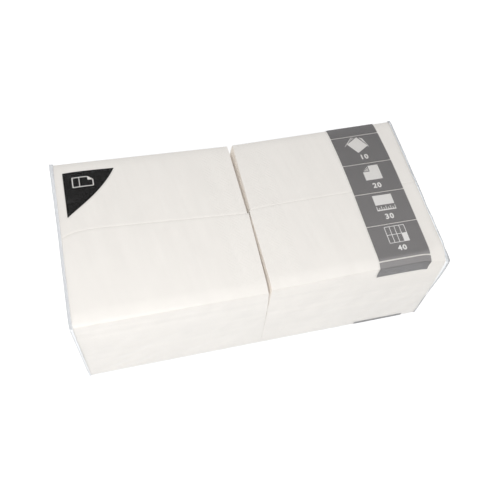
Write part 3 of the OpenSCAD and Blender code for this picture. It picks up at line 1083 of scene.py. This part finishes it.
    def place(self, bm, mark, x, y):
        """Draws a sign, whose own size is in millimetres, about x and y."""
        start = len(bm.verts)
        mark(bm)
        bm.verts.ensure_lookup_table()
        verts = bm.verts[start:]
        bmesh.ops.scale(bm, verts=verts, vec=(MM, MM, MM))
        bmesh.ops.translate(bm, verts=verts, vec=(x, y, 0))

    def number(self, bm, sizes, value, x, y):
        """Draws a number about x and y."""
        text = bpy.data.curves.new("number", "FONT")
        text.body, text.align_x, text.align_y = str(value), "CENTER", "CENTER"
        text.size, text.offset, text.space_character = 1.0, 0.04, 1.2
        holder = bpy.data.objects.new("number", text)
        bpy.context.scene.collection.objects.link(holder)
        bpy.context.view_layer.update()
        mesh = bpy.data.meshes.new_from_object(holder)
        bpy.data.objects.remove(holder)
        start = len(bm.verts)
        bm.from_mesh(mesh)
        bm.verts.ensure_lookup_table()
        verts = bm.verts[start:]
        tall = max(v.co.y for v in verts) - min(v.co.y for v in verts)
        middle = (max(v.co.x for v in verts) + min(v.co.x for v in verts)) / 2
        foot = min(v.co.y for v in verts)
        for v in verts:
            v.co = Vector((
                x + (v.co.x - middle) * sizes.number_height / tall,
                y + (v.co.y - foot) * sizes.number_height / tall - sizes.number_height / 2,
                0,
            ))
        bpy.data.meshes.remove(mesh)


def patch(bm, a, b, c, d, parts=4):
    """A flat field between four corners, with points enough to follow the pack."""
    made = bmesh.ops.create_grid(bm, x_segments=parts, y_segments=parts, size=0.5)["verts"]
    corners = [Vector((*corner, 0)) for corner in (a, b, c, d)]
    for v in made:
        across, up = v.co.x + 0.5, v.co.y + 0.5
        v.co = corners[0].lerp(corners[1], across).lerp(corners[3].lerp(corners[2], across), up)


def bar(bm, start, end, width):
    """A straight bar from start to end."""
    start, end = Vector(start), Vector(end)
    side = (end - start).orthogonal().normalized() * width / 2
    patch(bm, start + side, end + side, end - side, start - side)


def frame_of_bars(bm, corners, width):
    """Bars round the outline that the corners give."""
    for a, b in zip(corners, corners[1:] + corners[:1]):
        bar(bm, a, b, width)


def hatched(bm, a, b, c, d, count, width):
    """Parallel bars from the side a-b to the side d-c."""
    a, b, c, d = (Vector(corner) for corner in (a, b, c, d))
    for i in range(count):
        share = (i + 0.5) / count
        bar(bm, a.lerp(b, share), d.lerp(c, share), width)


def sheet_fan(bm):
    """A square sheet over two hatched ones, in a fan."""
    side, pivot, line = 14.5, Vector((-4.5, -10)), 0.5

    def corners(turn):
        across = Vector((math.cos(math.radians(turn)), math.sin(math.radians(turn)))) * side
        up = Vector((-across.y, across.x))
        return pivot, pivot + across, pivot + across + up, pivot + up

    front = corners(31)
    patch(bm, *front)
    _, b, c, _ = corners(16)
    meeting = c.lerp(front[2], 0.5)
    hatched(bm, c.lerp(b, 0.66), c, meeting, meeting, 5, line)
    bar(bm, c, b.lerp(front[1], 0.5), line)
    _, _, c, d = corners(46)
    hatched(bm, c, d.lerp(c, 0.25), front[3].lerp(c, 0.1), front[2].lerp(c, 0.3), 5, line)
    bar(bm, c, d, line)


def turned_corner(bm):
    """A square sheet with one corner turned over."""
    half, turned = 8.6, 7.0
    patch(bm, (-half, -half), (half, -half), (half, half - turned), (-half, half - turned))
    patch(bm, (turned - half, half - turned), (half, half - turned), (half, half), (turned - half, half))
    hatched(bm, (-half + 0.5, half - turned + 1), (turned - half - 0.8, half - 0.4),
        (turned - half - 0.8, half - turned + 1), (-half + 3, half - turned + 1), 4, 0.6)


def measured_sheet(bm):
    """A sheet over a scale."""
    patch(bm, (-9.5, -2.4), (9.5, -2.4), (9.5, 8.6), (-9.5, 8.6))
    bar(bm, (-9.5, -8.2), (9.5, -8.2), 1.2)
    for i in range(9):
        x = -9.1 + 18.2 * i / 8
        bar(bm, (x, -8), (x, -5.4 if i % 2 else -4), 0.7)


def folded_grid(bm):
    """The fold lines of a sheet, eight fields with one filled."""
    for i in range(5):
        bar(bm, (-9.6 + 4.8 * i, -9), (-9.6 + 4.8 * i, 9), 0.6)
    for y in (-9, 0, 9):
        bar(bm, (-9.6, y), (9.6, y), 0.6)
    patch(bm, (4.8, -9), (9.6, -9), (9.6, 0), (4.8, 0))


def folded_napkin_sign(bm):
    """A folded napkin in outline, with one corner turned over."""
    frame_of_bars(bm, [(-9, -6), (9, -6), (9, 1.5), (4.5, 6), (-9, 6)], 0.9)
    bar(bm, (-3, -6), (-3, 6), 0.6)
    patch(bm, (4.5, 1.5), (9, 1.5), (6.75, 3.75), (4.5, 6))


class NAPKINPACK_OT_stage(bpy.types.Operator):
    """Set the floor, the lamps and the camera"""

    bl_idname = "napkinpack.stage"
    bl_label = "Stage"

    def execute(self, context):
        scene = context.scene
        scene.view_settings.view_transform = "Standard"
        self.floor(scene)
        self.world(scene)
        self.lamp(scene)
        self.camera(scene)
        return {"FINISHED"}

    def floor(self, scene):
        """A wide pale floor that keeps the pack's shadow and shows as white elsewhere."""
        stage = scene.stage_sizes
        bm = bmesh.new()
        bmesh.ops.create_grid(bm, x_segments=1, y_segments=1, size=6)
        mesh = mesh_of(bm, "floor")
        floor = bpy.data.objects.new("floor", mesh)
        scene.collection.objects.link(floor)
        floor.location.z = -0.05 * MM
        material, nodes, links, shader = principled("pale_floor")
        shader.inputs["Base Color"].default_value = (stage.floor, stage.floor, stage.floor, 1)
        shader.inputs["Roughness"].default_value = 1.0
        shader.inputs["Specular IOR Level"].default_value = 0.0
        lift = math_node(nodes, links, "MULTIPLY", seen_directly(nodes, links), stage.floor_lift)
        shader.inputs["Emission Color"].default_value = (1, 1, 1, 1)
        links.new(lift, shader.inputs["Emission Strength"])
        mesh.materials.append(material)

    def world(self, scene):
        """Even light from all round, which shows as plain white where it is seen."""
        world = bpy.data.worlds.new("studio")
        world.use_nodes = True
        scene.world = world
        nodes, links = world.node_tree.nodes, world.node_tree.links
        background = nodes["Background"]
        background.inputs["Color"].default_value = (1, 1, 1, 1)
        seen = seen_directly(nodes, links)
        level = node(nodes, "ShaderNodeMix", data_type="FLOAT")
        level.inputs["A"].default_value = scene.stage_sizes.sky * scene.stage_sizes.light
        level.inputs["B"].default_value = 1.0
        links.new(seen, level.inputs["Factor"])
        links.new(level.outputs["Result"], background.inputs["Strength"])

    def lamp(self, scene):
        """One soft lamp from the front left, turned to the middle of the pack."""
        stage = scene.stage_sizes
        data = bpy.data.lights.new("key", "AREA")
        data.shape, data.size, data.energy = "DISK", stage.lamp_size, stage.lamp * stage.light
        lamp = bpy.data.objects.new("key", data)
        lamp.location = Vector((-190, -440, 660)) * MM
        pack_middle = Vector((0, 0, 50)) * MM
        lamp.rotation_euler = (pack_middle - lamp.location).to_track_quat("-Z", "Y").to_euler()
        scene.collection.objects.link(lamp)

    def camera(self, scene):
        """The camera, placed and turned to see the pack as the photo shows it."""
        stage = scene.stage_sizes
        data = bpy.data.cameras.new("camera")
        data.sensor_width, data.lens = 36, stage.lens
        data.shift_x, data.shift_y = stage.shift_x, stage.shift_y
        camera = bpy.data.objects.new("camera", data)
        place = Vector((-110.4, -312.19, 584)) * MM
        turn = Euler([math.radians(angle) for angle in (28.8632, -5.6739, -14.2323)])
        camera.matrix_world = Matrix.Translation(place) @ turn.to_matrix().to_4x4()
        data.clip_start, data.clip_end = 0.01, 20
        scene.collection.objects.link(camera)
        scene.camera = camera


def seen_directly(nodes, links):
    """Socket that is 1 for rays from the camera, off gloss or through clear film, else 0."""
    path = node(nodes, "ShaderNodeLightPath")
    total = path.outputs["Is Camera Ray"]
    for name in ("Is Glossy Ray", "Is Transmission Ray"):
        total = math_node(nodes, links, "MAXIMUM", total, path.outputs[name])
    return total


class NAPKINPACK_PT_panel(bpy.types.Panel):
    """Sizes, colours and build steps of the napkin pack"""

    bl_label = "Napkin pack"
    bl_idname = "NAPKINPACK_PT_panel"
    bl_space_type = "VIEW_3D"
    bl_region_type = "UI"
    bl_category = "Napkin pack"

    def draw(self, context):
        layout = self.layout
        for operator in OPERATORS:
            layout.operator(operator.bl_idname)
        for name, group in GROUPS.items():
            box = layout.box()
            box.label(text=group.__doc__)
            for key in group.__annotations__:
                box.prop(getattr(context.scene, name), key)


GROUPS = {
    "napkin_sizes": NapkinSizes,
    "wrap_sizes": WrapSizes,
    "print_sizes": PrintSizes,
    "finishes": Finishes,
    "stage_sizes": StageSizes,
}
OPERATORS = (NAPKINPACK_OT_stacks, NAPKINPACK_OT_print, NAPKINPACK_OT_film, NAPKINPACK_OT_stage)
CLASSES = (*GROUPS.values(), *OPERATORS, NAPKINPACK_PT_panel)


def register():
    for cls in CLASSES:
        bpy.utils.register_class(cls)
    for name, group in GROUPS.items():
        setattr(bpy.types.Scene, name, PointerProperty(type=group))


def unregister():
    for name in GROUPS:
        delattr(bpy.types.Scene, name)
    for cls in reversed(CLASSES):
        bpy.utils.unregister_class(cls)


def main():
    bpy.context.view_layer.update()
    register()
    bpy.ops.napkinpack.stacks()
    bpy.ops.napkinpack.print()
    bpy.ops.napkinpack.film()
    bpy.ops.napkinpack.stage()


if __name__ == "__main__":
    main()
